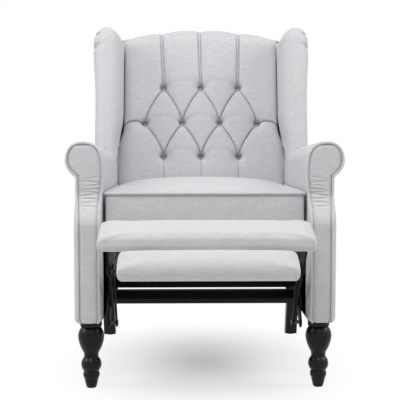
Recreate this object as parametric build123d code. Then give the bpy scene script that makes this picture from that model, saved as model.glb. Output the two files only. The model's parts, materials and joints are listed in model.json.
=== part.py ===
from build123d import *
import os
from math import atan2, cos, degrees, hypot, radians, sin, sqrt

# Push-back wing recliner with rolled arms, a tufted back and a two-pad leg rest, leg rest open.
# Millimetres, +Z up, the chair faces -Y, left and right are the sitter's own (left is +X).
# Y runs backwards from the front of the lower arm facings and heights are drawn from a datum above the floor;
# both are moved to the part's own origin, on the floor, at export.
ORIGIN_Y = 227.22
FLOOR_Z = -12.0

# Arms: a plywood frame, an upholstered pad with a roll, and a scroll-shaped front facing
ARM_GAP = 548.0
ARM_THICKNESS = 66.0
ARM_BOTTOM = 170.0
ROLL_RADIUS = 49.0
ROLL_TOP_FRONT = 648.0
ROLL_TOP_REAR = 606.0
ROLL_END = 560.0
PANEL_END = 655.0
PANEL_TOP_REAR = 480.0
PANEL_CORNER = 40.0
FACING_DEPTH = 75.0
KNEE_STEP = 45.0
KNEE_HIGH = 545.0
KNEE_LOW = 440.0
FRAME_BOARD = 22.0
FRAME_TOP = 400.0
FRAME_END_MARGIN = 15.0
FRAME_RAIL = 75.0
FACING_CORNER = 10.0

# Legs and the rear stretcher, leg heights from the floor
LEG_X = 305.0
FRONT_LEG_Y = 42.0
GLIDE_HEIGHT = 3.0
GLIDE_RADIUS = 12.0
FOOT_RADIUS = 14.0
FOOT_TOP = 26.0
RING_RADIUS = 22.2
RING_MIDDLE = 37.0
RING_TOP = 45.0
BALL_RADIUS = 27.2
BALL_MIDDLE = 63.5
BALL_TOP = 82.0
WAIST_RADIUS = 19.4
WAIST_TOP = 89.0
FLARE_RADIUS = 22.5
FLARE_TOP = 99.0
SWELL_RADIUS = 31.0
SWELL_MIDDLE = 118.5
BULB_RADIUS = 35.0
BULB_MIDDLE = 138.0
NECK_RADIUS = 25.7
COLLAR_RADIUS = 29.0
COLLAR_HEIGHT = 15.0
COLLAR_BEAD = 3.0
BOLT_RADIUS = 4.0
BOLT_GRIP = 32.0
REAR_LEG_SIDE = 38.0
REAR_LEG_FOOT = 34.0
REAR_LEG_TOP_Y = 634.0
REAR_LEG_RAKE = 62.0
STRETCHER_HEIGHT = 45.0
STRETCHER_THICKNESS = 22.0
STRETCHER_BOTTOM = 102.0

# Steel: plates, links, tubes, pins
STEEL = 4.0
LAYER = 7.0
PIN_RADIUS = 5.0
PIN_HEAD = 8.0
HEAD_HEIGHT = 1.8
FIT = 0.06
LINK_EDGE = 11.0
TUBE_SIDE = 25.0
TUBE_WALL = 2.0
SCREW_RADIUS = 2.5
SCREW_HEAD = 5.0
SCREW_HEAD_HEIGHT = 2.4
SCREW_LENGTH = 18.0
SCREW_PLACES_Y = (150.0, 262.0, 398.0, 546.0)
SCREW_Z = 216.0

# Seat glide: two pairs of equal swing links, so the seat moves forward and stays level
SWING_LENGTH = 110.0
SWING_LEAN = 15.0
SWING_REAR_Y = 450.0
SWING_FRONT_Y = 190.0
SWING_Z = 190.0
BASE_PLATE_BOTTOM = 172.0
BASE_PLATE_HEIGHT = 60.0
BASE_PLATE_FRONT = 138.0
BASE_PLATE_REAR = 560.0
BASE_TUBE_FRONT_Y = 320.0
BASE_TUBE_REAR_Y = 518.0
BASE_TUBE_Z = 176.0

# Seat: plates, rails, deck board, cross tube and cushion
DECK_BOTTOM = 398.0
DECK_THICKNESS = 12.0
DECK_FRONT = 120.0
DECK_REAR = 505.0
FLANGE_HEIGHT = 3.0
RAIL_HEIGHT = 45.0
RAIL_THICKNESS = 22.0
FRONT_RAIL_Y = 215.0
REAR_RAIL_Y = 480.0
SEAT_TUBE_Y = 185.0
SEAT_TUBE_Z = 236.0
PLATE_EDGE = 14.0
PLATE_TOE_REAR = 245.0
PLATE_WINDOW_FRONT = 260.0
PLATE_WINDOW_MARGIN = 30.0
PLATE_WINDOW_RISE = 28.0
PLATE_WINDOW_GAP = 8.0
CUSHION_WIDTH = 528.0
CUSHION_FRONT = 50.0
CUSHION_DEPTH = 482.0
CUSHION_EDGE_Z = 505.0
CUSHION_CROWN = 24.0
CUSHION_DRAW = 5.0
CUSHION_BULGE = 4.0
CUSHION_LIP = 0.12
CUSHION_STATIONS = (0.1, 0.2, 0.35, 0.5, 0.65, 0.8, 0.9)

# Back: hinged at the rear of the seat plates and leaning back
HINGE_Y = 540.0
HINGE_Z = 330.0
BACK_LEAN = 12.0
BACK_FRONT = 16.0
BACK_CUSHION_THICKNESS = 66.0
BACK_CROWN = 22.0
BACK_CUSHION_BOTTOM = 84.0
BACK_TOP = 688.0
BACK_TOP_DROP = 24.0
BACK_WIDTH_LOW = 532.0
BACK_WIDTH_HIGH = 480.0
SHOULDER_BELOW_WING = 14.0
SHOULDER_RISE = 16.0
POST_WIDTH = 30.0
POST_DEPTH = 42.0
POST_BOTTOM = 36.0
POST_TOP = 628.0
OUTER_PANEL = 7.0
OUTER_PANEL_WIDTH = 650.0
OUTER_PANEL_CORNER = 70.0
PLEAT_WIDTH = 15.0
PLEAT_DEPTH = 9.0
DIMPLE_RADIUS = 22.0
DIMPLE_DEPTH = 13.0
BUTTON_RADIUS = 11.0
BUTTON_HEIGHT = 8.0
BUTTON_PITCH = 121.0
BUTTON_ROWS_UP = (264.0, 375.0, 492.0)

# Wings: upholstered ears on plywood frames
WING_INNER = 243.0
WING_OUTER = 334.0
WING_FORWARD = 141.0
WING_TOP = 665.0
WING_BOTTOM_Z = 622.0
WING_ROUND = 38.0
WING_SHOULDER_INSET = 8.0
WING_CREST_INSET = 24.0
WING_BOARD = 18.0
WING_CLEAR = 0.3

# Leg rest: a wide ottoman and a narrower flipper, open positions of the top back edge
OTTOMAN_Y = -54.0
OTTOMAN_Z = 443.0
OTTOMAN_SLOPE = 14.0
OTTOMAN_WIDTH = 530.0
OTTOMAN_LENGTH = 142.0
PAD_THICKNESS = 17.0
PAD_CROWN = 5.0
PAD_DRAW = 3.0
BOARD_THICKNESS = 9.0
BOARD_MARGIN = 6.0
BRACKET_NOSE = 20.0
BRACKET_LIP = 14.0
CLOSED_Y = 30.0
CLOSED_Z = 388.0
FLIPPER_WIDTH = 415.0
FLIPPER_LENGTH = 90.0
FLIPPER_AHEAD = 199.0
FLIPPER_BELOW = 6.0
FLIPPER_TILT = 10.0
FLIPPER_PIVOT_AHEAD = 169.0
FLIPPER_PIVOT_BELOW = 62.0
HINGE_ARM_X = 156.0
LINK_PIVOT = (100.0, 200.0)
LINK_PIN_BELOW = 130.0
CONTROL_PIVOT = (56.0, 160.0)
CONTROL_PIN_BELOW = 110.0
OPEN_PIVOT_GAP = 0.6

# Places worked out from the driving dimensions
arm_in = ARM_GAP / 2
arm_out = arm_in + ARM_THICKNESS
frame_rear = PANEL_END - FRAME_END_MARGIN
base_plate_x = arm_in - STEEL
swing_x = base_plate_x - LAYER
seat_plate_x = swing_x - LAYER
link_x = seat_plate_x - LAYER
bracket_x = link_x - LAYER
control_x = bracket_x - LAYER
deck_top = DECK_BOTTOM + DECK_THICKNESS
board_below = PAD_THICKNESS + BOARD_THICKNESS
post_front = BACK_CUSHION_THICKNESS - BACK_FRONT
post_rear = post_front + POST_DEPTH
lean = radians(SWING_LEAN)
swing_rise = SWING_LENGTH * cos(lean)
swing_back = SWING_LENGTH * sin(lean)

os.makedirs("parts", exist_ok=True)


def save(name, shape):
    """Write one piece, moved from the arm fronts to the part's own origin."""
    moved = Pos(0, -ORIGIN_Y, -FLOOR_Z) * shape
    export_step(moved, f"parts/{name}.step")


def save_pair(name, left):
    """Write a left piece and its mirror image."""
    save(f"{name}_left", left)
    save(f"{name}_right", mirror(left, about=Plane.YZ))


def save_group(name, solids):
    """Write several like solids as one node."""
    save(name, Compound(solids))


def both(left):
    """A left solid and its mirror image."""
    return [left, mirror(left, about=Plane.YZ)]


def block(x0, x1, y0, y1, z0, z1):
    """A box between two corners."""
    middle = Pos((x0 + x1) / 2, (y0 + y1) / 2, (z0 + z1) / 2)
    return middle * Box(x1 - x0, y1 - y0, z1 - z0)


def side_plate(face, x, thickness=STEEL):
    """Sheet cut to a side outline drawn in (y, z), standing outward from x."""
    return extrude(Plane.YZ.offset(x) * face, amount=thickness)


def outline(points, radius):
    """Closed outline with every corner rounded."""
    face = make_face(Polyline(*points, close=True))
    return fillet(face.vertices(), radius)


def hole(point, radius=PIN_RADIUS + FIT):
    """Round hole at a point of a side outline."""
    return Pos(*point) * Circle(radius)


def link_bar(start, end, x):
    """Flat steel link with a pivot hole at each end."""
    span = hypot(end[0] - start[0], end[1] - start[1])
    angle = degrees(atan2(end[1] - start[1], end[0] - start[0]))
    middle = Pos((start[0] + end[0]) / 2, (start[1] + end[1]) / 2)
    face = middle * Rot(0, 0, angle) * SlotCenterToCenter(span, 2 * LINK_EDGE)
    return side_plate(face - hole(start) - hole(end), x)


def pin(point, x0, x1, heads):
    """Rivet along X from x0 to x1, with a head ending at each x listed in heads."""
    start = Pos(x0, *point) * Rot(0, 90, 0)
    solid = start * Cylinder(PIN_RADIUS, x1 - x0, align=(Align.CENTER, Align.CENTER, Align.MIN))
    for x in heads:
        seat = Pos(x, *point) * Rot(0, 90, 0)
        solid += seat * Cylinder(PIN_HEAD, HEAD_HEIGHT, align=(Align.CENTER, Align.CENTER, Align.MIN))
    return solid


def square_tube(half_length, y, z):
    """Square steel tube along X, its lower front corner at (y, z)."""
    outer = block(-half_length, half_length, y, y + TUBE_SIDE, z, z + TUBE_SIDE)
    bore = TUBE_SIDE - TUBE_WALL
    inner = block(-half_length, half_length, y + TUBE_WALL, y + bore, z + TUBE_WALL, z + bore)
    return outer - inner


def cushion_section(y, half_width, bottom, edge, crown, bulge):
    """One slice of a boxed cushion: flat below, bowed sides, arched top."""
    middle = (bottom + edge) / 2
    line = Curve() + [
        Line((-half_width, bottom), (half_width, bottom)),
        ThreePointArc((half_width, bottom), (half_width + bulge, middle), (half_width, edge)),
        ThreePointArc((half_width, edge), (0, edge + crown), (-half_width, edge)),
        ThreePointArc((-half_width, edge), (-half_width - bulge, middle), (-half_width, bottom)),
    ]
    return Plane.XZ.offset(-y) * make_face(line)


def boxed_cushion(width, length, edge, crown, draw, bulge):
    """Crowned cushion from y = 0 to its length, with sides drawn in between the corners."""
    half = width / 2 - bulge
    lip = edge * CUSHION_LIP
    front = [
        (0.0, 0.0, edge - lip, 0.0),
        (lip / 3, 0.0, edge - lip / 3, 0.0),
        (lip, 0.0, edge, 0.0),
    ]
    middle = []
    for share in CUSHION_STATIONS:
        rise = 1 - (1 - 2 * share) ** 2
        middle.append((length * share, draw * rise, edge, crown * sqrt(rise)))
    rear = [(length - y, pull, top, rise) for y, pull, top, rise in reversed(front)]
    slices = []
    for y, pull, top, rise in front + middle + rear:
        slices.append(cushion_section(y, half - pull, 0.0, top, rise + 0.5, bulge))
    return loft(slices, ruled=True)


# Arms
def arm_outline(roll_top):
    """Cross-section of an arm in (x, z): flat panel with a roll that overhangs outward."""
    centre_x = arm_in + ROLL_RADIUS
    centre_z = roll_top - ROLL_RADIUS
    drop = sqrt(ROLL_RADIUS ** 2 - (arm_out - centre_x) ** 2)
    neck = (arm_out, centre_z - drop)
    crest = (centre_x, roll_top)
    inner = (arm_in, centre_z)
    slant = ROLL_RADIUS * sqrt(0.5)
    line = Curve() + [
        Polyline(inner, (arm_in, ARM_BOTTOM), (arm_out, ARM_BOTTOM), neck),
        ThreePointArc(neck, (centre_x + ROLL_RADIUS, centre_z), crest),
        ThreePointArc(crest, (centre_x - slant, centre_z + slant), inner),
    ]
    return make_face(line)


def arm_pad():
    """Upholstered arm behind the facing, with a recess for the arm frame."""
    front = Plane.XZ.offset(-FACING_DEPTH) * arm_outline(ROLL_TOP_FRONT)
    rear = Plane.XZ.offset(-ROLL_END) * arm_outline(ROLL_TOP_REAR)
    pad = loft([front, rear], ruled=True)
    tail = make_face(Polyline((ROLL_END, ARM_BOTTOM), (PANEL_END, ARM_BOTTOM), (PANEL_END, PANEL_TOP_REAR),
                              (ROLL_END, PANEL_TOP_REAR), close=True))
    corner = tail.vertices().sort_by(Axis.X)[-2:].sort_by(Axis.Y)[-1]
    pad += side_plate(fillet(corner, PANEL_CORNER), arm_in, ARM_THICKNESS)
    return pad - block(arm_in, arm_in + FRAME_BOARD, FACING_DEPTH, frame_rear, ARM_BOTTOM, FRAME_TOP)


screw_places = [(y, SCREW_Z) for y in SCREW_PLACES_Y]


def arm_frame():
    """Plywood side frame with three rounded windows, drilled for the base plate screws."""
    face = Pos((FACING_DEPTH + frame_rear) / 2, (ARM_BOTTOM + FRAME_TOP) / 2) * Rectangle(
        frame_rear - FACING_DEPTH, FRAME_TOP - ARM_BOTTOM)
    window_length = (frame_rear - FACING_DEPTH - 4 * FRAME_RAIL) / 3
    window_height = FRAME_TOP - ARM_BOTTOM - 2 * FRAME_RAIL
    for place in range(3):
        y = FACING_DEPTH + FRAME_RAIL + window_length / 2 + place * (window_length + FRAME_RAIL)
        z = (ARM_BOTTOM + FRAME_TOP) / 2 + FRAME_RAIL / 4
        face -= Pos(y, z) * RectangleRounded(window_length, window_height, FRAME_RAIL / 4)
    board = side_plate(face, arm_in, FRAME_BOARD)
    for place in screw_places:
        board -= side_plate(hole(place, SCREW_RADIUS + FIT), arm_in, SCREW_LENGTH + FIT)
    return board


def arm_facing():
    """Scroll-shaped front of the arm; its lower part sweeps forward below the roll."""
    scroll = extrude(Plane.XZ * arm_outline(ROLL_TOP_FRONT), amount=-FACING_DEPTH)
    middle = (KNEE_STEP / 2, (KNEE_HIGH + KNEE_LOW) / 2)
    over = ROLL_TOP_FRONT + ROLL_RADIUS
    side = Curve() + [
        Polyline((0, KNEE_LOW), (0, ARM_BOTTOM), (FACING_DEPTH, ARM_BOTTOM), (FACING_DEPTH, over),
                 (KNEE_STEP, over), (KNEE_STEP, KNEE_HIGH)),
        TangentArc((KNEE_STEP, KNEE_HIGH), middle, tangent=(0, -1)),
        TangentArc((0, KNEE_LOW), middle, tangent=(0, 1)),
    ]
    facing = scroll & side_plate(make_face(side), arm_in, arm_out + ROLL_RADIUS - arm_in)
    facing = fillet(facing.edges().filter_by(Axis.Y).group_by(Axis.Z)[0], FACING_CORNER)
    bore = Cylinder(BOLT_RADIUS + FIT, BOLT_GRIP + FIT, align=(Align.CENTER, Align.CENTER, Align.MIN))
    return facing - Pos(LEG_X, FRONT_LEG_Y, ARM_BOTTOM) * bore


save_pair("arm_pad", arm_pad())
save_pair("arm_frame", arm_frame())
save_pair("arm_facing", arm_facing())


# Legs
def front_leg():
    """Turned leg: tapered foot, ring, ball, waist, bulb and collar, drawn from the floor."""
    top = ARM_BOTTOM - FLOOR_Z
    neck = top - COLLAR_HEIGHT - COLLAR_BEAD
    profile = Curve() + [
        Polyline((0, GLIDE_HEIGHT), (FOOT_RADIUS, GLIDE_HEIGHT), (WAIST_RADIUS, FOOT_TOP)),
        ThreePointArc((WAIST_RADIUS, FOOT_TOP), (RING_RADIUS, RING_MIDDLE), (WAIST_RADIUS, RING_TOP)),
        ThreePointArc((WAIST_RADIUS, RING_TOP), (BALL_RADIUS, BALL_MIDDLE), (WAIST_RADIUS, BALL_TOP)),
        Line((WAIST_RADIUS, BALL_TOP), (WAIST_RADIUS, WAIST_TOP)),
        TangentArc((WAIST_RADIUS, WAIST_TOP), (FLARE_RADIUS, FLARE_TOP), tangent=(0, 1)),
        ThreePointArc((FLARE_RADIUS, FLARE_TOP), (SWELL_RADIUS, SWELL_MIDDLE), (BULB_RADIUS, BULB_MIDDLE)),
        TangentArc((BULB_RADIUS, BULB_MIDDLE), (NECK_RADIUS, neck), tangent=(0, 1)),
        Polyline((NECK_RADIUS, neck), (COLLAR_RADIUS, neck + COLLAR_BEAD), (COLLAR_RADIUS, top), (0, top),
                 (0, GLIDE_HEIGHT)),
    ]
    leg = revolve(Plane.XZ * make_face(profile), axis=Axis.Z)
    bore = Cylinder(BOLT_RADIUS + FIT, BOLT_GRIP + FIT, align=(Align.CENTER, Align.CENTER, Align.MAX))
    return Pos(LEG_X, FRONT_LEG_Y, FLOOR_Z) * (leg - Pos(0, 0, top) * bore)


def rear_leg():
    """Square leg raked backwards, narrowing a little to the foot."""
    foot = Plane.XY.offset(FLOOR_Z + GLIDE_HEIGHT) * Pos(LEG_X, REAR_LEG_TOP_Y + REAR_LEG_RAKE) * Rectangle(
        REAR_LEG_SIDE, REAR_LEG_FOOT)
    top = Plane.XY.offset(ARM_BOTTOM) * Pos(LEG_X, REAR_LEG_TOP_Y) * Rectangle(REAR_LEG_SIDE, REAR_LEG_SIDE)
    return loft([foot, top], ruled=True)


def rear_stretcher():
    """Rail between the rear legs, centred on their rake."""
    middle_z = STRETCHER_BOTTOM + STRETCHER_HEIGHT / 2
    share = (ARM_BOTTOM - middle_z) / (ARM_BOTTOM - FLOOR_Z - GLIDE_HEIGHT)
    y = REAR_LEG_TOP_Y + REAR_LEG_RAKE * share
    half = LEG_X - REAR_LEG_SIDE / 2
    return Pos(0, y, middle_z) * Box(2 * half, STRETCHER_THICKNESS, STRETCHER_HEIGHT)


front_bolt = Pos(LEG_X, FRONT_LEG_Y, ARM_BOTTOM) * Cylinder(BOLT_RADIUS, 2 * BOLT_GRIP)
glide = Pos(0, 0, FLOOR_Z + GLIDE_HEIGHT / 2) * Cylinder(GLIDE_RADIUS, GLIDE_HEIGHT)
front_glide = Pos(LEG_X, FRONT_LEG_Y, 0) * glide
rear_glide = Pos(LEG_X, REAR_LEG_TOP_Y + REAR_LEG_RAKE, 0) * glide

save_pair("front_leg", front_leg())
save_group("front_leg_bolts", both(front_bolt))
save_pair("rear_leg", rear_leg())
save("rear_stretcher", rear_stretcher())
save_group("leg_glides", both(front_glide) + both(rear_glide))


# Base mechanism: plates on the arm frames, tubes across, swing links on pins
swing_feet = [(SWING_FRONT_Y, SWING_Z), (SWING_REAR_Y, SWING_Z)]
swing_heads = [(y + swing_back, z + swing_rise) for y, z in swing_feet]


def base_plate():
    """Steel plate along the foot of the arm frame, with a slot between the swing links."""
    top = BASE_PLATE_BOTTOM + BASE_PLATE_HEIGHT
    face = outline([(BASE_PLATE_FRONT, BASE_PLATE_BOTTOM), (BASE_PLATE_REAR, BASE_PLATE_BOTTOM),
                    (BASE_PLATE_REAR, top), (BASE_PLATE_FRONT, top)], BASE_PLATE_HEIGHT / 6)
    for foot in swing_feet:
        face -= hole(foot)
    for place in screw_places:
        face -= hole(place, SCREW_RADIUS + FIT)
    return side_plate(face, base_plate_x)


def plate_screw(place):
    """Wood screw through the base plate into the arm frame, head on the plate's inner face."""
    shank = Pos(base_plate_x, *place) * Rot(0, 90, 0)
    length = STEEL + SCREW_LENGTH
    solid = shank * Cylinder(SCREW_RADIUS, length, align=(Align.CENTER, Align.CENTER, Align.MIN))
    head = Cylinder(SCREW_HEAD, SCREW_HEAD_HEIGHT, align=(Align.CENTER, Align.CENTER, Align.MAX))
    return solid + shank * head


screws = []
for place in screw_places:
    screws += both(plate_screw(place))
base_pins = []
for foot in swing_feet:
    head_x = swing_x - FIT - HEAD_HEIGHT
    base_pins += both(pin(foot, head_x, arm_in, [head_x]))
tubes = [square_tube(base_plate_x, BASE_TUBE_FRONT_Y, BASE_TUBE_Z),
         square_tube(base_plate_x, BASE_TUBE_REAR_Y, BASE_TUBE_Z)]

save_pair("base_plate", base_plate())
save_group("base_plate_screws", screws)
save_group("base_pivot_pins", base_pins)
save_group("base_cross_tubes", tubes)
save_pair("front_swing_link", link_bar(swing_feet[0], swing_heads[0], swing_x))
save_pair("rear_swing_link", link_bar(swing_feet[1], swing_heads[1], swing_x))


# Seat: plates carried on the swing links, rails, deck board, cross tube and cushion
hinge = (HINGE_Y, HINGE_Z)


def seat_plate():
    """Side plate of the seat: deck edge above, back hinge behind, leg rest pivots below the front."""
    low = swing_heads[0][1] - 2 * LINK_EDGE
    toe = CONTROL_PIVOT
    edge = PLATE_EDGE
    front = LINK_PIVOT[0] - LINK_EDGE - 1
    points = [
        (front, DECK_BOTTOM), (DECK_REAR, DECK_BOTTOM), (HINGE_Y + 3 * edge, HINGE_Z + edge),
        (HINGE_Y + 2 * edge, HINGE_Z - edge), (swing_heads[1][0] + edge, low), (PLATE_TOE_REAR, low),
        (SEAT_TUBE_Y + TUBE_SIDE + edge, SEAT_TUBE_Z - edge), (LINK_PIVOT[0] + 2 * edge, LINK_PIVOT[1] - edge),
        (toe[0] + edge, toe[1] - edge), (toe[0] - edge, toe[1] - edge), (toe[0] - edge, toe[1] + edge),
        (front, LINK_PIVOT[1] + 2 * edge),
    ]
    face = outline(points, LINK_EDGE - 1)
    window = (PLATE_WINDOW_FRONT, swing_heads[1][0] - PLATE_WINDOW_MARGIN)
    window_z = (low + PLATE_WINDOW_RISE, DECK_BOTTOM - RAIL_HEIGHT - PLATE_WINDOW_GAP)
    window_length = (window[1] - window[0] - 2 * LINK_EDGE) / 2
    for y in (window[0] + window_length / 2, window[1] - window_length / 2):
        centre = Pos(y, (window_z[0] + window_z[1]) / 2)
        face -= centre * RectangleRounded(window_length, window_z[1] - window_z[0], LINK_EDGE - 1)
    for point in swing_heads + [hinge, LINK_PIVOT, CONTROL_PIVOT]:
        face -= hole(point)
    plate = side_plate(face, seat_plate_x)
    flange = block(seat_plate_x, seat_plate_x + 3 * STEEL, DECK_FRONT, DECK_REAR - LINK_EDGE,
                   DECK_BOTTOM - FLANGE_HEIGHT, DECK_BOTTOM)
    return plate + flange


rail_bottom = DECK_BOTTOM - RAIL_HEIGHT
front_rail = block(-seat_plate_x, seat_plate_x, FRONT_RAIL_Y, FRONT_RAIL_Y + RAIL_THICKNESS,
                   rail_bottom, DECK_BOTTOM)
rear_rail = block(-seat_plate_x, seat_plate_x, REAR_RAIL_Y, REAR_RAIL_Y + RAIL_THICKNESS,
                  rail_bottom, DECK_BOTTOM)
side_rail = block(seat_plate_x - RAIL_THICKNESS, seat_plate_x, FRONT_RAIL_Y + RAIL_THICKNESS, REAR_RAIL_Y,
                  rail_bottom, DECK_BOTTOM)
deck_half = seat_plate_x + 2 * STEEL
deck = block(-deck_half, deck_half, DECK_FRONT, DECK_REAR, DECK_BOTTOM, deck_top)
seat_cushion = Pos(0, CUSHION_FRONT, deck_top) * boxed_cushion(
    CUSHION_WIDTH, CUSHION_DEPTH, CUSHION_EDGE_Z - deck_top, CUSHION_CROWN, CUSHION_DRAW, CUSHION_BULGE)

plate_out = seat_plate_x + STEEL
seat_pins = []
for head in swing_heads:
    outer_head = swing_x + STEEL + FIT
    seat_pins += both(pin(head, seat_plate_x, outer_head + HEAD_HEIGHT, [outer_head]))
for point, x in ((hinge, link_x), (LINK_PIVOT, link_x), (CONTROL_PIVOT, control_x)):
    inner_head = x - FIT - HEAD_HEIGHT
    seat_pins += both(pin(point, inner_head, plate_out + HEAD_HEIGHT, [inner_head, plate_out]))

save_pair("seat_plate", seat_plate())
save("seat_front_rail", front_rail)
save("seat_rear_rail", rear_rail)
save_pair("seat_side_rail", side_rail)
save("seat_deck_board", deck)
save("seat_cross_tube", square_tube(seat_plate_x, SEAT_TUBE_Y, SEAT_TUBE_Z))
save_group("seat_pivot_pins", seat_pins)
save("seat_cushion", seat_cushion)


# Back: drawn upright on its hinge, with y to the rear and z up, then leaned back
def leaned(shape):
    """Lean an upright back piece about the hinge and put it in place."""
    return Pos(0, HINGE_Y, HINGE_Z) * Rot(-BACK_LEAN, 0, 0) * shape


def back_bracket():
    """Steel bracket from the hinge to the side of the back post."""
    edge = LINK_EDGE + 2
    face = outline([(-edge, -edge), (edge, -edge), (post_rear, POST_BOTTOM), (post_rear, 5 * POST_DEPTH),
                    (post_front, 5 * POST_DEPTH), (post_front, 2 * edge + POST_BOTTOM), (-edge, edge)],
                   LINK_EDGE / 2)
    return side_plate(face - hole((0, 0)), link_x)


def back_shell(width_low, width_high, front, rear, top, drop):
    """Upright slab: wide between the arms, narrower between the wings, with an arched top."""
    step = WING_BOTTOM_Z - HINGE_Z - SHOULDER_BELOW_WING
    low = width_low / 2
    high = width_high / 2
    line = Curve() + [
        Polyline((-high, top - drop), (-high, step + SHOULDER_RISE), (-low, step), (-low, BACK_CUSHION_BOTTOM),
                 (low, BACK_CUSHION_BOTTOM), (low, step), (high, step + SHOULDER_RISE), (high, top - drop)),
        ThreePointArc((high, top - drop), (0, top), (-high, top - drop)),
    ]
    return extrude(Plane.XZ.offset(-front) * make_face(line), amount=front - rear)


def crowned(width, front, rear, crown):
    """Tall prism with an arched front, which gives a back cushion its crown."""
    half = width / 2
    line = Curve() + [
        ThreePointArc((-half, front + crown), (0, front), (half, front + crown)),
        Polyline((half, front + crown), (half, rear), (-half, rear), (-half, front + crown)),
    ]
    return extrude(Plane.XY * make_face(line), amount=BACK_TOP)


def front_at(x):
    """How far the crowned front of the back cushion lies behind the hinge plane."""
    half = BACK_WIDTH_LOW / 2
    radius = (half ** 2 + BACK_CROWN ** 2) / (2 * BACK_CROWN)
    return -BACK_FRONT + radius - sqrt(radius ** 2 - x ** 2)


button_rows = [
    [(place - 1) * BUTTON_PITCH for place in range(3)],
    [(place - 1.5) * BUTTON_PITCH for place in range(4)],
    [(place - 1) * BUTTON_PITCH for place in range(3)],
]
buttons_at = []
for row, height in zip(button_rows, BUTTON_ROWS_UP):
    for x in row:
        buttons_at.append((x, height))


def pleat(start, end):
    """Wedge cutter for a sewn fold between two points of the back's face."""
    span = hypot(end[0] - start[0], end[1] - start[1])
    angle = degrees(atan2(end[1] - start[1], end[0] - start[0]))
    middle = ((start[0] + end[0]) / 2, (start[1] + end[1]) / 2)
    depth = (front_at(start[0]) + front_at(end[0])) / 2
    wedge = make_face(Polyline((-PLEAT_WIDTH, -PLEAT_DEPTH), (PLEAT_WIDTH, -PLEAT_DEPTH), (0, PLEAT_DEPTH),
                               close=True))
    bar = extrude(Plane.YZ * Rot(0, 0, 90) * wedge, amount=span / 2, both=True)
    return Pos(middle[0], depth, middle[1]) * Rot(0, -angle, 0) * Rot(180, 0, 0) * bar


def pleat_lines():
    """Diamond folds between neighbouring rows, and upright folds to the top and the bottom edge."""
    lines = []
    for lower, upper in ((0, 1), (1, 2)):
        for x0 in button_rows[lower]:
            for x1 in button_rows[upper]:
                if abs(x1 - x0) < BUTTON_PITCH:
                    lines.append(((x0, BUTTON_ROWS_UP[lower]), (x1, BUTTON_ROWS_UP[upper])))
    for x in button_rows[0]:
        lines.append(((x, BACK_CUSHION_BOTTOM), (x, BUTTON_ROWS_UP[0])))
        lines.append(((x, BUTTON_ROWS_UP[2]), (x, BACK_TOP)))
    return lines


def back_cushion():
    """Tufted back cushion: crowned, with sewn folds and a flat-bottomed dimple at each button."""
    cushion = back_shell(BACK_WIDTH_LOW, BACK_WIDTH_HIGH, -BACK_FRONT, post_front, BACK_TOP, BACK_TOP_DROP)
    cushion &= crowned(BACK_WIDTH_LOW, -BACK_FRONT, post_front, BACK_CROWN)
    for start, end in pleat_lines():
        cushion -= pleat(start, end)
    for x, height in buttons_at:
        floor = front_at(x) + DIMPLE_DEPTH
        cup = Pos(x, floor, height) * Rot(90, 0, 0) * Cone(
            BUTTON_RADIUS + 2, DIMPLE_RADIUS, 2 * DIMPLE_DEPTH, align=(Align.CENTER, Align.CENTER, Align.MIN))
        cushion -= cup
    return cushion


def button(x, height):
    """Covered button: a low dome seated on the floor of its dimple."""
    dome = Curve() + [
        Polyline((0, 0), (BUTTON_RADIUS, 0), (BUTTON_RADIUS, BUTTON_HEIGHT / 3)),
        TangentArc((0, BUTTON_HEIGHT), (BUTTON_RADIUS, BUTTON_HEIGHT / 3), tangent=(1, 0)),
        Line((0, BUTTON_HEIGHT), (0, 0)),
    ]
    solid = revolve(Plane.XZ * make_face(dome), axis=Axis.Z)
    return Pos(x, front_at(x) + DIMPLE_DEPTH, height) * Rot(90, 0, 0) * solid


def outer_back():
    """Thin upholstered panel that closes the rear, wide behind the wings."""
    panel = back_shell(BACK_WIDTH_LOW, OUTER_PANEL_WIDTH, post_rear, post_rear + OUTER_PANEL,
                       BACK_TOP, BACK_TOP_DROP)
    return fillet(panel.edges().filter_by(Axis.Y).group_by(Axis.Z)[-1], OUTER_PANEL_CORNER)


def wing_section(height, inset):
    """Slice of a wing across its height, rounded at the front and the rear."""
    width = WING_OUTER - WING_INNER - 2 * inset
    depth = WING_FORWARD + post_rear - inset
    face = RectangleRounded(width, depth, WING_ROUND - inset)
    centre = Pos((WING_INNER + WING_OUTER) / 2, (post_rear - WING_FORWARD + inset) / 2, height)
    return centre * face


def wing_board():
    """Plywood ear inside a wing, from the outer panel forward."""
    middle = (WING_INNER + WING_OUTER) / 2
    low = WING_BOTTOM_Z - HINGE_Z
    return block(middle - WING_BOARD / 2, middle + WING_BOARD / 2, WING_ROUND - WING_FORWARD, post_rear,
                 low + WING_ROUND, WING_TOP - 2 * WING_ROUND)


def wing_pad():
    """Wing upholstery round its board, level below, clear of the back post."""
    low = WING_BOTTOM_Z - HINGE_Z - WING_ROUND
    full = loft([wing_section(low, 0), wing_section(WING_TOP - WING_ROUND, 0)], ruled=True)
    full += loft([wing_section(WING_TOP - WING_ROUND, 0),
                  wing_section(WING_TOP - WING_ROUND / 3, WING_SHOULDER_INSET),
                  wing_section(WING_TOP, WING_CREST_INSET)])
    post_side = link_x + STEEL
    full -= block(WING_INNER - WING_ROUND, post_side, post_front - WING_CLEAR, post_rear + WING_ROUND,
                  low - WING_ROUND, WING_TOP)
    full -= wing_board()
    reach = WING_FORWARD + post_rear + HINGE_Y
    return leaned(full) - block(0, 2 * WING_OUTER, 0, HINGE_Y + reach, 0, WING_BOTTOM_Z)


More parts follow.
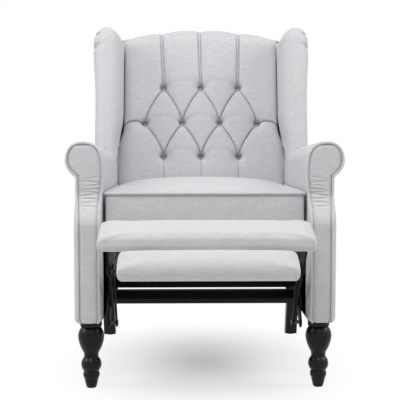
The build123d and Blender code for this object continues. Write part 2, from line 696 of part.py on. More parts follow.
post_out = link_x
post = block(post_out - POST_WIDTH, post_out, post_front, post_rear, POST_BOTTOM, POST_TOP)
rail_half = post_out - POST_WIDTH
rails = []
for low in (POST_BOTTOM, (POST_BOTTOM + POST_TOP - RAIL_HEIGHT) / 2, POST_TOP - RAIL_HEIGHT):
    rails.append(leaned(block(-rail_half, rail_half, post_front, post_rear, low, low + RAIL_HEIGHT)))

save_pair("back_bracket", leaned(back_bracket()))
save_pair("back_post", leaned(post))
save_group("back_rails", rails)
save("back_cushion", leaned(back_cushion()))
save_group("back_buttons", [leaned(button(x, height)) for x, height in buttons_at])
save("outer_back_panel", leaned(outer_back()))
save_pair("wing_frame", leaned(wing_board()))
save_pair("wing_pad", wing_pad())


# Leg rest: drawn flat with y to the rear and z up, from the top back edge of each pad
slope = radians(OTTOMAN_SLOPE)


def ottoman_place(shape):
    """Put an ottoman piece at its open slope."""
    return Pos(0, OTTOMAN_Y, OTTOMAN_Z) * Rot(OTTOMAN_SLOPE, 0, 0) * shape


def ottoman_point(ahead, below):
    """A point of the open ottoman, given ahead of and below its top back edge."""
    return (OTTOMAN_Y - ahead * cos(slope) + below * sin(slope),
            OTTOMAN_Z - ahead * sin(slope) - below * cos(slope))


def link_pin_ahead(pivot, below):
    """How far ahead a link pin lies, so that the link is one length open and closed."""
    dy = pivot[0] - OTTOMAN_Y
    dz = pivot[1] - OTTOMAN_Z
    open_ahead = -dy * cos(slope) - dz * sin(slope)
    open_below = dy * sin(slope) - dz * cos(slope)
    closed_ahead = CLOSED_Z - pivot[1]
    closed_below = pivot[0] - CLOSED_Y
    middle_ahead = (open_ahead + closed_ahead) / 2
    middle_below = (open_below + closed_below) / 2
    return middle_ahead - (below - middle_below) * (closed_below - open_below) / (closed_ahead - open_ahead)


link_ahead = link_pin_ahead(LINK_PIVOT, LINK_PIN_BELOW)
control_ahead = link_pin_ahead(CONTROL_PIVOT, CONTROL_PIN_BELOW)
link_pin = ottoman_point(link_ahead, LINK_PIN_BELOW)
control_pin = ottoman_point(control_ahead, CONTROL_PIN_BELOW)
flipper_pin = ottoman_point(FLIPPER_PIVOT_AHEAD, FLIPPER_PIVOT_BELOW)
flipper_edge = ottoman_point(FLIPPER_AHEAD, FLIPPER_BELOW)


def flipper_place(shape):
    """Put a flipper piece at its open slope."""
    return Pos(0, *flipper_edge) * Rot(OTTOMAN_SLOPE + FLIPPER_TILT, 0, 0) * shape


def rest_pad(width, length):
    """Crowned foam pad, its top at z = 0 at the edge and its back edge at y = 0."""
    edge = PAD_THICKNESS - PAD_CROWN
    return Pos(0, -length, -PAD_THICKNESS) * boxed_cushion(width, length, edge, PAD_CROWN, PAD_DRAW, PAD_DRAW)


def rest_board(width, length):
    """Plywood board under a pad, a margin smaller all round."""
    half = width / 2 - BOARD_MARGIN
    return block(-half, half, BOARD_MARGIN - length, -BOARD_MARGIN, -board_below, -PAD_THICKNESS)


def ottoman_bracket():
    """Angle bracket under the ottoman board, carrying the link pin."""
    edge = LINK_EDGE
    nose = BRACKET_NOSE - OTTOMAN_LENGTH
    face = outline([(-2 * BOARD_MARGIN, -board_below), (nose, -board_below), (nose, -board_below - BRACKET_LIP),
                    (-control_ahead - 2 * edge, -CONTROL_PIN_BELOW - edge),
                    (-link_ahead - edge, -LINK_PIN_BELOW - edge), (-link_ahead + edge, -LINK_PIN_BELOW - edge)],
                   edge / 4)
    plate = side_plate(face - hole((-link_ahead, -LINK_PIN_BELOW)), bracket_x)
    flange = block(bracket_x - 2 * LAYER, bracket_x + STEEL, nose + STEEL, -2 * BOARD_MARGIN,
                   -board_below - FLANGE_HEIGHT, -board_below)
    return plate + flange


def hinge_arm():
    """Short arm under the ottoman board that carries the flipper's pivot."""
    edge = LINK_EDGE
    pivot = (-FLIPPER_PIVOT_AHEAD, -FLIPPER_PIVOT_BELOW)
    start = -OTTOMAN_LENGTH + 5 * edge
    face = outline([(start, -board_below), (1 - OTTOMAN_LENGTH, -board_below),
                    (pivot[0] - edge, pivot[1] + edge), (pivot[0] - edge, pivot[1] - edge),
                    (start, -board_below - edge)], edge / 4)
    plate = side_plate(face - hole(pivot), HINGE_ARM_X)
    flange = block(HINGE_ARM_X, HINGE_ARM_X + 4 * LAYER, start - 2 * LAYER, start,
                   -board_below - FLANGE_HEIGHT, -board_below)
    tie = block(HINGE_ARM_X, HINGE_ARM_X + STEEL, start - 3 * LAYER, start,
                -board_below - FLANGE_HEIGHT, -board_below)
    return plate + flange + tie


def flipper_bracket():
    """Angle bracket under the flipper board, hung on the pivot."""
    edge = LINK_EDGE
    tilt = radians(FLIPPER_TILT)
    dy = FLIPPER_AHEAD - FLIPPER_PIVOT_AHEAD
    dz = FLIPPER_PIVOT_BELOW - FLIPPER_BELOW
    pivot = (dy * cos(tilt) - dz * sin(tilt), -dy * sin(tilt) - dz * cos(tilt))
    reach = -FLIPPER_LENGTH / 2
    face = outline([(pivot[0] + edge, pivot[1] + edge), (0, -board_below), (reach, -board_below),
                    (reach, -board_below - edge), (pivot[0] + edge, pivot[1] - edge)], edge / 4)
    x = HINGE_ARM_X - LAYER
    plate = side_plate(face - hole(pivot), x)
    flange = block(x - 4 * LAYER, x + STEEL, reach, -2 * BOARD_MARGIN, -board_below - FLANGE_HEIGHT, -board_below)
    return plate + flange


pad_outer_head = link_x + STEEL + FIT
ottoman_pins = both(pin(link_pin, bracket_x, pad_outer_head + HEAD_HEIGHT, [pad_outer_head]))
flipper_x = HINGE_ARM_X - LAYER
flipper_head = flipper_x - FIT - HEAD_HEIGHT
flipper_pins = both(pin(flipper_pin, flipper_head, HINGE_ARM_X + STEEL, [flipper_head]))
control_pins = both(pin(control_pin, control_x, bracket_x - OPEN_PIVOT_GAP, []))

save_pair("legrest_link", link_bar(LINK_PIVOT, link_pin, link_x))
save_pair("control_link", link_bar(CONTROL_PIVOT, control_pin, control_x))
save_group("control_link_pins", control_pins)
save("ottoman_pad", ottoman_place(rest_pad(OTTOMAN_WIDTH, OTTOMAN_LENGTH)))
save("ottoman_board", ottoman_place(rest_board(OTTOMAN_WIDTH, OTTOMAN_LENGTH)))
save_pair("ottoman_bracket", ottoman_place(ottoman_bracket()))
save_group("ottoman_link_pins", ottoman_pins)
save_group("flipper_hinge_arms", [ottoman_place(arm) for arm in both(hinge_arm())])
save_group("flipper_pivot_pins", flipper_pins)
save("flipper_pad", flipper_place(rest_pad(FLIPPER_WIDTH, FLIPPER_LENGTH)))
save("flipper_board", flipper_place(rest_board(FLIPPER_WIDTH, FLIPPER_LENGTH)))
save_pair("flipper_bracket", flipper_place(flipper_bracket()))

# Pivots and turns of the leg rest, in the part's own frame, for whoever sets its joints
link_open = degrees(atan2(link_pin[1] - LINK_PIVOT[1], link_pin[0] - LINK_PIVOT[0]))
link_closed = degrees(atan2(CLOSED_Z - link_ahead - LINK_PIVOT[1], CLOSED_Y + LINK_PIN_BELOW - LINK_PIVOT[0]))
control_open = degrees(atan2(control_pin[1] - CONTROL_PIVOT[1], control_pin[0] - CONTROL_PIVOT[0]))
control_closed = degrees(atan2(CLOSED_Z - control_ahead - CONTROL_PIVOT[1],
                               CLOSED_Y + CONTROL_PIN_BELOW - CONTROL_PIVOT[0]))
for label, point in (("swing foot front", swing_feet[0]), ("swing foot rear", swing_feet[1]),
                     ("swing head rear", swing_heads[1]), ("back hinge", hinge), ("link pivot", LINK_PIVOT),
                     ("link pin", link_pin), ("control pivot", CONTROL_PIVOT), ("flipper pin", flipper_pin)):
    print(label, round(point[0] - ORIGIN_Y, 3), round(point[1] - FLOOR_Z, 3))
print("leg rest link turns", round(link_closed - link_open, 3))
print("ottoman turns", round(90 - OTTOMAN_SLOPE, 3))
print("flipper turns", round(180 - FLIPPER_TILT, 3))
print("control link turns", round(control_closed - control_open, 3))
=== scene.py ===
import json
import math

import bmesh
import bpy
import numpy as np
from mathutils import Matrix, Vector


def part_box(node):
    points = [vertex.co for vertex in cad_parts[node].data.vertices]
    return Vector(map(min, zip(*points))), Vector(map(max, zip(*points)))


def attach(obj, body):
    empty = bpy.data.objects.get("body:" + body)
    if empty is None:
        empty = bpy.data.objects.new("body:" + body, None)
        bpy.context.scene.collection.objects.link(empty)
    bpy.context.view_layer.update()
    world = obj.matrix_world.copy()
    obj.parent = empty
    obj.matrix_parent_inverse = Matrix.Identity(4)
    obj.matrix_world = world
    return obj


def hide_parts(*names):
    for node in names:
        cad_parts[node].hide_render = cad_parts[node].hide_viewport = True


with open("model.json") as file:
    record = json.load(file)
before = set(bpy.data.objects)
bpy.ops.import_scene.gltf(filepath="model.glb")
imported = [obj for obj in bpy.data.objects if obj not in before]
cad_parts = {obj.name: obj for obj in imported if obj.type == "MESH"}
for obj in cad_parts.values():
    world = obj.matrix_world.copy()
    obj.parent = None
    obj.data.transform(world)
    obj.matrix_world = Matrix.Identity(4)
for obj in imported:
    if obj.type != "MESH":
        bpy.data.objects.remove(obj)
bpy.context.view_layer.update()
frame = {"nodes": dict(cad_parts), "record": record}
scene = bpy.context.scene
nodes = frame["nodes"]

# Studio: a white floor and backdrop under large soft lamps, as for a catalogue picture.
# The camera stands about 2.7 m in front, a little above the arms, with a long lens, and looks slightly down.
scene.view_settings.view_transform = "Standard"
SENSOR_MM = 36.0
LENS_MM = 84.78
CAMERA_AT = (-0.0594, -2.6772, 0.694)
CAMERA_DOWN = math.radians(4.37)
CAMERA_TURN = math.radians(-1.054)
camera_data = bpy.data.cameras.new("studio_camera")
camera_data.sensor_width = SENSOR_MM
camera_data.lens = LENS_MM
camera = bpy.data.objects.new("studio_camera", camera_data)
camera.location = CAMERA_AT
camera.rotation_euler = (math.pi / 2 - CAMERA_DOWN, 0.0, CAMERA_TURN)
scene.collection.objects.link(camera)
scene.camera = camera


def linear(hex_colour):
    """sRGB hex to linear RGBA."""
    rgba = []
    for start in (0, 2, 4):
        share = int(hex_colour[start:start + 2], 16) / 255
        rgba.append(share / 12.92 if share <= 0.04045 else ((share + 0.055) / 1.055) ** 2.4)
    return (*rgba, 1.0)


def add(tree, kind, inputs=None, **settings):
    """Add a shader node with its settings; an input is a value or another node's socket."""
    node = tree.nodes.new("ShaderNode" + kind)
    for name, value in settings.items():
        setattr(node, name, value)
    for key, value in (inputs or {}).items():
        if isinstance(value, bpy.types.NodeSocket):
            tree.links.new(value, node.inputs[key])
        else:
            node.inputs[key].default_value = value
    return node


def seen_directly(tree):
    """1 for rays from the camera, mirrors and glass, and 0 for those that light the object."""
    path = add(tree, "LightPath")
    mirrored = add(tree, "Math", {0: path.outputs["Is Camera Ray"], 1: path.outputs["Is Glossy Ray"]},
                   operation="MAXIMUM")
    return add(tree, "Math", {0: mirrored.outputs[0], 1: path.outputs["Is Transmission Ray"]},
               operation="MAXIMUM").outputs[0]


SKY_LIGHT = 0.27
world = bpy.data.worlds.new("white_studio")
world.use_nodes = True
sky = world.node_tree
sky.nodes.clear()
sky_level = add(sky, "MapRange", {"Value": seen_directly(sky), "To Min": SKY_LIGHT, "To Max": 1.0})
sky_shade = add(sky, "Background", {"Color": linear("ffffff"), "Strength": sky_level.outputs[0]})
add(sky, "OutputWorld", {"Surface": sky_shade.outputs[0]})
scene.world = world

FLOOR_SIZE = 60.0
FLOOR_GLOW = 0.35
SHADOW_REACH = (0.05, 0.6)
SHADOW_SHAPE = (1.37, 1.0, 1.0)
SHADOW_MIDDLE = (0.0, -0.06, 0.0)
floor_paint = bpy.data.materials.new("white_sweep_paper")
floor_paint.use_nodes = True
paper = floor_paint.node_tree
paper.nodes.clear()
paper_place = add(paper, "TexCoord").outputs["Object"]
paper_oval = add(paper, "Mapping", {"Vector": paper_place, "Location": SHADOW_MIDDLE,
                                    "Scale": SHADOW_SHAPE})
paper_far = add(paper, "VectorMath", {0: paper_oval.outputs[0]}, operation="LENGTH")
paper_fade = add(paper, "MapRange", {"Value": paper_far.outputs["Value"],
                                     "From Min": SHADOW_REACH[0], "From Max": SHADOW_REACH[1],
                                     "To Min": FLOOR_GLOW, "To Max": 1.0})
paper_matte = add(paper, "BsdfDiffuse", {"Color": linear("f2f2f2")})
paper_glow = add(paper, "Emission", {"Color": linear("ffffff"), "Strength": 1.0})
paper_share = add(paper, "Math", {0: seen_directly(paper), 1: paper_fade.outputs[0]}, operation="MULTIPLY")
paper_mix = add(paper, "MixShader", {0: paper_share.outputs[0], 1: paper_matte.outputs[0],
                                     2: paper_glow.outputs[0]})
add(paper, "OutputMaterial", {"Surface": paper_mix.outputs[0]})
sheet = bmesh.new()
bmesh.ops.create_grid(sheet, x_segments=1, y_segments=1, size=FLOOR_SIZE / 2)
floor_mesh = bpy.data.meshes.new("floor")
sheet.to_mesh(floor_mesh)
sheet.free()
floor_mesh.materials.append(floor_paint)
floor = bpy.data.objects.new("floor", floor_mesh)
scene.collection.objects.link(floor)

LAMP_AIM = Vector((0.0, 0.0, 0.5))
LAMPS = (
    ("key_lamp", (-2.2, -0.4, 1.8), 1.2, 25.0),
    ("fill_lamp", (2.2, -0.2, 1.8), 1.2, 26.0),
    ("top_lamp", (-0.2, -1.3, 2.5), 1.6, 39.0),
    ("rear_lamp", (0.4, 2.6, 2.3), 2.0, 18.0),
)
for lamp_name, lamp_at, lamp_size, lamp_watts in LAMPS:
    lamp_data = bpy.data.lights.new(lamp_name, "AREA")
    lamp_data.size = lamp_size
    lamp_data.energy = lamp_watts
    lamp = bpy.data.objects.new(lamp_name, lamp_data)
    lamp.location = lamp_at
    lamp.rotation_euler = (LAMP_AIM - lamp.location).to_track_quat("-Z", "Y").to_euler()
    scene.collection.objects.link(lamp)

# Arms: a padded board with a roll along the top, covered in one sleeve of linen-look cloth.
# The front is closed by a scroll-shaped facing that steps forward at the knee.
# A welt is sewn round the facing's edge, and the cloth wrinkles where it turns at the knee.
MM = 0.001
arm_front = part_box("arm_facing_left")[0][1]
arm_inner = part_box("arm_pad_left")[0][0]
arm_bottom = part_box("arm_pad_left")[0][2]
ARM_THICKNESS = 71 * MM
ROLL_RADIUS = 49 * MM
ROLL_SQUARENESS = 2.3
ROLL_TOP_FRONT = arm_bottom + 478 * MM
ROLL_TOP_REAR = arm_bottom + 444 * MM
ROLL_END = 578 * MM
ROLL_FROM = 0.75
PANEL_END = 655 * MM
PANEL_TOP_REAR = arm_bottom + 310 * MM
PANEL_CORNER = 40 * MM
KNEE_STEP = 45 * MM
KNEE_HIGH = arm_bottom + 345 * MM
KNEE_LOW = arm_bottom + 256 * MM
FACING_PUFF = 5 * MM
FACING_PUFF_WIDTH = 14 * MM
FACING_INSET = 5 * MM
FACING_OUTER_INSET = 6 * MM
FACING_ROLLOVER = 14 * MM
FACING_CORNER = (5 * MM, 14 * MM)
FACING_CORNER_RUN = 0.08
SEAM_DEPTH = 5 * MM
SEAM_WIDTH = 2.6 * MM
NECK_SWELL = 8 * MM
NECK_HEIGHT = arm_bottom + 393 * MM
NECK_LENGTH = 58 * MM
NECK_RUN = 0.15
NECK_SOFTNESS = 9 * MM
INNER_SWELL = 6 * MM
INNER_SWELL_RUN = (0.12, 0.6)
INNER_SWELL_RISE = (arm_bottom + 305 * MM, arm_bottom + 345 * MM)
INNER_EASE = 5 * MM
INNER_EASE_RUN = (572 * MM, 592 * MM)
WELT_RADIUS = 3.4 * MM
WELT_PROUD = 2.2 * MM
THREAD = 2.4 * MM
SLUB = 26 * MM
YARN_SHARES = (0.45, 0.33, 0.22)
roll_x = arm_inner + ROLL_RADIUS


def linen(name, pale, deep):
    """Plain-woven polyester linen: matt, with uneven slubby yarns, the ones across showing most.
    The real yarns are about 0.6 mm, drawn four times as coarse so that they show."""
    cloth = bpy.data.materials.new(name)
    cloth.use_nodes = True
    tree = cloth.node_tree
    tree.nodes.clear()
    place = add(tree, "TexCoord").outputs["Object"]
    weave = 0.0
    for axis, share in enumerate(YARN_SHARES):
        scale = [1 / THREAD] * 3
        scale[axis] = 1 / SLUB
        stretched = add(tree, "Mapping", {"Vector": place, "Scale": scale})
        yarn = add(tree, "TexNoise", {"Vector": stretched.outputs[0], "Scale": 1.0, "Detail": 2.0})
        weave = add(tree, "Math", {0: yarn.outputs[0], 1: share, 2: weave},
                    operation="MULTIPLY_ADD").outputs[0]
    light = add(tree, "MapRange", {"Value": weave, "From Min": 0.38, "From Max": 0.62})
    colour = add(tree, "Mix", {0: light.outputs[0], 6: linear(deep), 7: linear(pale)}, data_type="RGBA")
    relief = add(tree, "Bump", {"Height": weave, "Strength": 0.35, "Distance": 0.5 * MM})
    skin = add(tree, "BsdfPrincipled", {"Base Color": colour.outputs[2], "Roughness": 0.92,
                                        "Specular IOR Level": 0.15, "Sheen Weight": 0.15,
                                        "Sheen Roughness": 0.5, "Normal": relief.outputs[0]})
    add(tree, "OutputMaterial", {"Surface": skin.outputs[0]})
    return cloth


cover_cloth = linen("grey_linen_weave", "d1d0d3", "bfbec1")


def smooth_step(value, low, high):
    """0 below low, 1 above high, with level ends; for a number or a whole array."""
    share = np.clip((value - low) / (high - low), 0.0, 1.0)
    return share * share * (3 - 2 * share)


def map_grid(shape, across, along, place):
    """Lay a grid into the shape and move each point to place(u, v), both from 0 to 1."""
    made = bmesh.ops.create_grid(shape, x_segments=across, y_segments=along, size=0.5)
    for vert in made["verts"]:
        vert.co = place(vert.co.x + 0.5, vert.co.y + 0.5)


def make_piece(name, shape, material, merge=0.2 * MM):
    """Close the shape's seams, point its faces outwards and make it an object."""
    bmesh.ops.remove_doubles(shape, verts=shape.verts, dist=merge)
    bmesh.ops.recalc_face_normals(shape, faces=shape.faces)
    mesh = bpy.data.meshes.new(name)
    shape.to_mesh(mesh)
    shape.free()
    mesh.materials.append(material)
    mesh.polygons.foreach_set("use_smooth", [True] * len(mesh.polygons))
    piece = bpy.data.objects.new(name, mesh)
    scene.collection.objects.link(piece)
    return piece


def make_welt(name, points, material, radius=WELT_RADIUS, closed=False):
    """Self-welt: a cloth-covered cord along the points."""
    curve = bpy.data.curves.new(name, "CURVE")
    curve.dimensions = "3D"
    curve.bevel_depth = radius
    curve.bevel_resolution = 3
    curve.use_fill_caps = True
    line = curve.splines.new("POLY")
    line.points.add(len(points) - 1)
    for point, at in zip(line.points, points):
        point.co = (*at, 1.0)
    line.use_cyclic_u = closed
    line.use_smooth = True
    curve.materials.append(material)
    piece = bpy.data.objects.new(name, curve)
    scene.collection.objects.link(piece)
    return piece


def arm_level(share, top, bottom, radius=ROLL_RADIUS):
    """Height at a share of the way up: even to the middle of the roll, then by angle to its crest."""
    middle = top - radius
    if share < ROLL_FROM:
        return bottom + (middle - bottom) * share / ROLL_FROM
    rise = math.sin((share - ROLL_FROM) / (1 - ROLL_FROM) * math.pi / 2)
    return middle + radius * rise ** (2 / ROLL_SQUARENESS)


def arm_side(z, top, outside, inset=0.0):
    """x of the arm's inner or outer side at a height: a panel with a roll that is a little flat on top."""
    radius = ROLL_RADIUS - inset
    rise = (z - (top - ROLL_RADIUS)) / radius
    square = ROLL_SQUARENESS if rise > 0 else 2
    reach = radius * max(1 - abs(rise) ** square, 0.0) ** (1 / square)
    if not outside:
        return roll_x - reach if rise > 0 else arm_inner + inset
    panel = arm_inner + ARM_THICKNESS - inset
    if rise > 0:
        return roll_x + reach
    ball = roll_x + reach if rise > -1 else arm_inner
    return (panel + ball + math.hypot(panel - ball, NECK_SOFTNESS)) / 2


def facing_y(z):
    """Front of the facing at a height: it comes forward below the knee."""
    return arm_front + KNEE_STEP * smooth_step(z, KNEE_LOW, KNEE_HIGH)


def corner_inset(z):
    """How far the facing's lower corners are rounded in at a height."""
    wide, high = FACING_CORNER
    short = min(max(1 - (z - arm_bottom) / high, 0.0), 1.0)
    return wide * (1 - math.sqrt(1 - short ** 2))


WRINKLES = (
    (380, 10, 1.7, 0.3, 0.3), (370, -6, 2.1, 0.4, 0.35), (359, 8, 2.1, 0.3, 0.3), (350, 4, 2.9, 0.25, 0.4),
    (343, -7, 2.9, 0.35, 0.35), (335, 6, 3.1, 0.5, 0.45), (326, -3, 2.9, 0.4, 0.45), (316, 6, 2.9, 0.5, 0.5),
    (306, -4, 2.6, 0.45, 0.45))
WRINKLE_WIDTH = 1.9 * MM
WRINKLE_FADE = 6 * MM
WRINKLE_ARCH = 9 * MM


def knee_creases(u, z):
    """Cross wrinkles where the cloth turns forward at the knee.
    Each has a height, a tilt and a depth in millimetres, and a middle and a reach as shares of the width."""
    depth = 0.0
    for height, tilt, size, middle, reach in WRINKLES:
        gap = z - arm_bottom - (height + tilt * (0.5 - u)) * MM + WRINKLE_ARCH * (u - middle) ** 2
        depth += size * MM * math.exp(-(gap / WRINKLE_WIDTH) ** 2) * math.exp(-((u - middle) / reach) ** 2)
    return depth


def outer_inset(z):
    """How much further in the facing's outer edge lies below the knee."""
    return FACING_OUTER_INSET * (1 - smooth_step(z, KNEE_LOW, KNEE_HIGH))


def neck_swell(z):
    """How far the facing's inner edge swells towards the sitter below the roll."""
    return NECK_SWELL * math.exp(-((z - NECK_HEIGHT) / NECK_LENGTH) ** 2)


def facing_point(u, v):
    """Point of the facing, u across and v up: padded, drawn in along its seam and creased at the knee."""
    z = arm_level(v, ROLL_TOP_FRONT - FACING_INSET, arm_bottom, ROLL_RADIUS - FACING_INSET)
    corner = corner_inset(z)
    low_x = arm_side(z, ROLL_TOP_FRONT, False, FACING_INSET) + corner - neck_swell(z)
    high_x = arm_side(z, ROLL_TOP_FRONT, True, FACING_INSET) - corner - outer_inset(z)
    rim_gap = min(min(u, 1 - u) * (high_x - low_x), ROLL_TOP_FRONT - FACING_INSET - z)
    puff = FACING_PUFF * smooth_step(rim_gap, 0.0, FACING_PUFF_WIDTH)
    puff -= SEAM_DEPTH * math.exp(-rim_gap / SEAM_WIDTH)
    creases = knee_creases(u, z) * smooth_step(rim_gap, 0.0, WRINKLE_FADE)
    return Vector((low_x + (high_x - low_x) * u, facing_y(z) - puff + creases, z))


def rim_point(u, v):
    """Where the welt lies: on the facing's rim, a little proud of the cloth."""
    at = facing_point(u, v)
    return Vector((at.x, facing_y(at.z) - WELT_PROUD, at.z))


def rear_point(share, outside):
    """Point on the arm's rear edge: the panel runs on below the roll's end."""
    z = arm_level(share, ROLL_TOP_REAR, arm_bottom)
    rise = max(z - (PANEL_TOP_REAR - PANEL_CORNER), 0.0)
    if z < PANEL_TOP_REAR:
        y = PANEL_END - PANEL_CORNER + math.sqrt(PANEL_CORNER ** 2 - rise ** 2)
    else:
        high = min((z - PANEL_TOP_REAR) / (ROLL_TOP_REAR - PANEL_TOP_REAR), 1.0)
        y = ROLL_END + (PANEL_END - PANEL_CORNER - ROLL_END) * (1 - high)
    x = arm_side(z, ROLL_TOP_REAR, outside)
    return Vector((x, arm_front + y, z))


def inner_shift(v, at):
    """How far the inner side swells towards the sitter, then gives way to the back at the rear."""
    past = smooth_step(at.y - arm_front, *INNER_EASE_RUN)
    swell_in = INNER_SWELL * smooth_step(v, *INNER_SWELL_RUN) * smooth_step(at.z, *INNER_SWELL_RISE)
    return INNER_EASE * past - swell_in * (1 - past)


def sleeve_point(u, v):
    """Point of the sleeve, u from its inner foot over the roll to its outer foot, v from front to rear."""
    outside = u > 0.5
    share = 2 * (1 - u) if outside else 2 * u
    z = arm_level(share, ROLL_TOP_FRONT, arm_bottom)
    swell_in = neck_swell(z) * (1 - smooth_step(v, 0.0, NECK_RUN))
    x = arm_side(z, ROLL_TOP_FRONT, outside) - (0.0 if outside else swell_in)
    corner = corner_inset(z) * (1 - smooth_step(v, 0.0, FACING_CORNER_RUN))
    x += -corner if outside else corner
    start = Vector((x, facing_y(z), z))
    at = start.lerp(rear_point(share, outside), v)
    if not outside:
        at.x += inner_shift(v, at)
    inset = FACING_INSET + (outer_inset(z) if outside else 0.0)
    to_rim = inset * max(1 - (at.y - start.y) / FACING_ROLLOVER, 0.0) ** 2
    middle = Vector((roll_x, at.y, min(at.z, ROLL_TOP_FRONT - ROLL_RADIUS)))
    inward = middle - at
    inward.y = 0.0
    return at + inward.normalized() * to_rim


SLEEVE_CROWDING = 1.8


def sleeve_run(u, v):
    """Sleeve with its rows close together at the front, where it rolls over to the facing."""
    return sleeve_point(u, v ** SLEEVE_CROWDING)


def rear_cap_point(u, v):
    """Point of the arm's rear end, u from its inner to its outer side and v up."""
    inner = rear_point(v, False)
    inner.x += inner_shift(1.0, inner)
    return inner.lerp(rear_point(v, True), u)


def underside_point(u, v):
    """Point of the arm's underside, between the feet of the sleeve."""
    low = sleeve_run(0.0, v)
    return low.lerp(sleeve_run(1.0, v), u)


FACING_GRID = (48, 420)
SLEEVE_GRID = (180, 90)
END_COLUMNS = 8
RIM_STEPS = 160
for side, mirror in (("left", 1), ("right", -1)):
    arm = bmesh.new()
    map_grid(arm, SLEEVE_GRID[0], SLEEVE_GRID[1], sleeve_run)
    map_grid(arm, END_COLUMNS, SLEEVE_GRID[0] // 2, rear_cap_point)
    map_grid(arm, END_COLUMNS, SLEEVE_GRID[1], underside_point)
    bmesh.ops.scale(arm, vec=(mirror, 1, 1), verts=arm.verts)
    sleeve = make_piece("arm_sleeve_" + side, arm, cover_cloth)
    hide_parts("arm_pad_" + side)
    front = bmesh.new()
    map_grid(front, FACING_GRID[0], FACING_GRID[1], facing_point)
    bmesh.ops.scale(front, vec=(mirror, 1, 1), verts=front.verts)
    facing = make_piece("arm_facing_cover_" + side, front, cover_cloth)
    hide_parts("arm_facing_" + side)
    rim = [rim_point(0, i / RIM_STEPS) for i in range(RIM_STEPS + 1)]
    rim += [rim_point(1, 1 - i / RIM_STEPS) for i in range(1, RIM_STEPS + 1)]
    rim = [Vector((at.x * mirror, at.y, at.z)) for at in rim]
    welt = make_welt("arm_welt_" + side, rim, cover_cloth)
    for piece in (sleeve, facing, welt):
        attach(piece, "base")

# Seat cushion: a boxed foam cushion in the same cloth, crowned on top and drawn in at the sides.
# Its top and bottom edges are sewn seams, the top one with a welt, so the filling swells between them.
seat_low, seat_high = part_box("seat_cushion")
SEAT_EDGE = seat_low[2] + 98 * MM
SEAT_CROWN = 24 * MM
SEAT_REAR_DROP = 8 * MM
SEAT_DROP_RUN = (0.15, 1.0)
SEAT_DRAW = 5 * MM
SEAT_SIDE_FULL = 1.5 * MM
SEAM_HOLD = 5 * MM
SEAT_WELT_RADIUS = 4.2 * MM
SEAT_CUTS = 30
SEAT_SWELL = 22 * MM
SEAM_STEPS = 40
seat_half = (seat_high[0] - seat_low[0]) / 2 + SEAT_SIDE_FULL


def crown_share(u, v):
    """1 in the middle of a pad and 0 along its edges."""
    return ((1 - (2 * u - 1) ** 2) * (1 - (2 * v - 1) ** 4)) ** 0.5


def seat_edge(u, v):
    """Point of the seat's top seam, u across and v from front to rear, where it drops under the back."""
    drawn = seat_half - SEAT_DRAW * (1 - (2 * v - 1) ** 2)
    seam_z = SEAT_EDGE - SEAT_REAR_DROP * smooth_step(v, *SEAT_DROP_RUN)
    return Vector(((2 * u - 1) * drawn, seat_low[1] + v * (seat_high[1] - seat_low[1]), seam_z))


def box_shape(cuts):
    """A unit cube with its faces divided into a fine grid."""
    shape = bmesh.new()
    bmesh.ops.create_cube(shape, size=1.0)
    bmesh.ops.subdivide_edges(shape, edges=shape.edges, cuts=cuts, use_grid_fill=True)
    return shape


def swell(piece, held, cap, voxel=6 * MM, calming=6, pressure=4.0, frames=20):
    """Blow a pad up as filled cloth, held where held(point) is 1, and move no point further than cap."""
    divide = piece.modifiers.new("even_mesh", "REMESH")
    divide.mode = "VOXEL"
    divide.voxel_size = voxel
    depsgraph = bpy.context.evaluated_depsgraph_get()
    even = bpy.data.meshes.new_from_object(piece.evaluated_get(depsgraph))
    piece.modifiers.clear()
    even.materials.clear()
    even.materials.append(piece.data.materials[0])
    piece.data = even
    count = len(even.vertices)
    start = np.empty(count * 3)
    even.vertices.foreach_get("co", start)
    start = start.reshape(-1, 3)
    grip = piece.vertex_groups.new(name="seams")
    for index in range(count):
        grip.add([index], held(start[index]), "REPLACE")
    cloth = piece.modifiers.new("filled_cloth", "CLOTH")
    cloth.settings.quality = 6
    cloth.settings.mass = 0.25
    cloth.settings.tension_stiffness = 12
    cloth.settings.compression_stiffness = 12
    cloth.settings.shear_stiffness = 6
    cloth.settings.bending_stiffness = 0.6
    cloth.settings.use_pressure = True
    cloth.settings.uniform_pressure_force = pressure
    cloth.settings.effector_weights.gravity = 0.0
    cloth.settings.vertex_group_mass = grip.name
    cloth.point_cache.frame_start = 1
    cloth.point_cache.frame_end = frames
    for step in range(1, frames + 1):
        scene.frame_set(step)
    swollen = bpy.data.meshes.new_from_object(
        piece.evaluated_get(bpy.context.evaluated_depsgraph_get()))
    moved = np.empty(count * 3)
    swollen.vertices.foreach_get("co", moved)
    bpy.data.meshes.remove(swollen)
    move = moved.reshape(-1, 3) - start
    length = np.linalg.norm(move, axis=1, keepdims=True)
    move *= np.minimum(1.0, cap / np.maximum(length, 1e-9))
    even.vertices.foreach_set("co", (start + move).ravel())
    piece.modifiers.clear()
    piece.vertex_groups.clear()
    scene.frame_set(1)
    even.polygons.foreach_set("use_smooth", [True] * len(even.polygons))
    calm = piece.modifiers.new("calm", "SMOOTH")
    calm.factor = 0.5
    calm.iterations = calming
    finer = piece.modifiers.new("finer", "SUBSURF")
    finer.levels = 1
    finer.render_levels = 1


seat_shape = box_shape(SEAT_CUTS)
for vert in seat_shape.verts:
    u, v, w = vert.co.x + 0.5, vert.co.y + 0.5, vert.co.z + 0.5
    edge = seat_edge(u, v)
    top = edge.z + (SEAT_EDGE + SEAT_CROWN - edge.z) * crown_share(u, v)
    vert.co = (edge.x, edge.y, seat_low[2] + (top - seat_low[2]) * w)
seat = make_piece("seat_cover", seat_shape, cover_cloth)


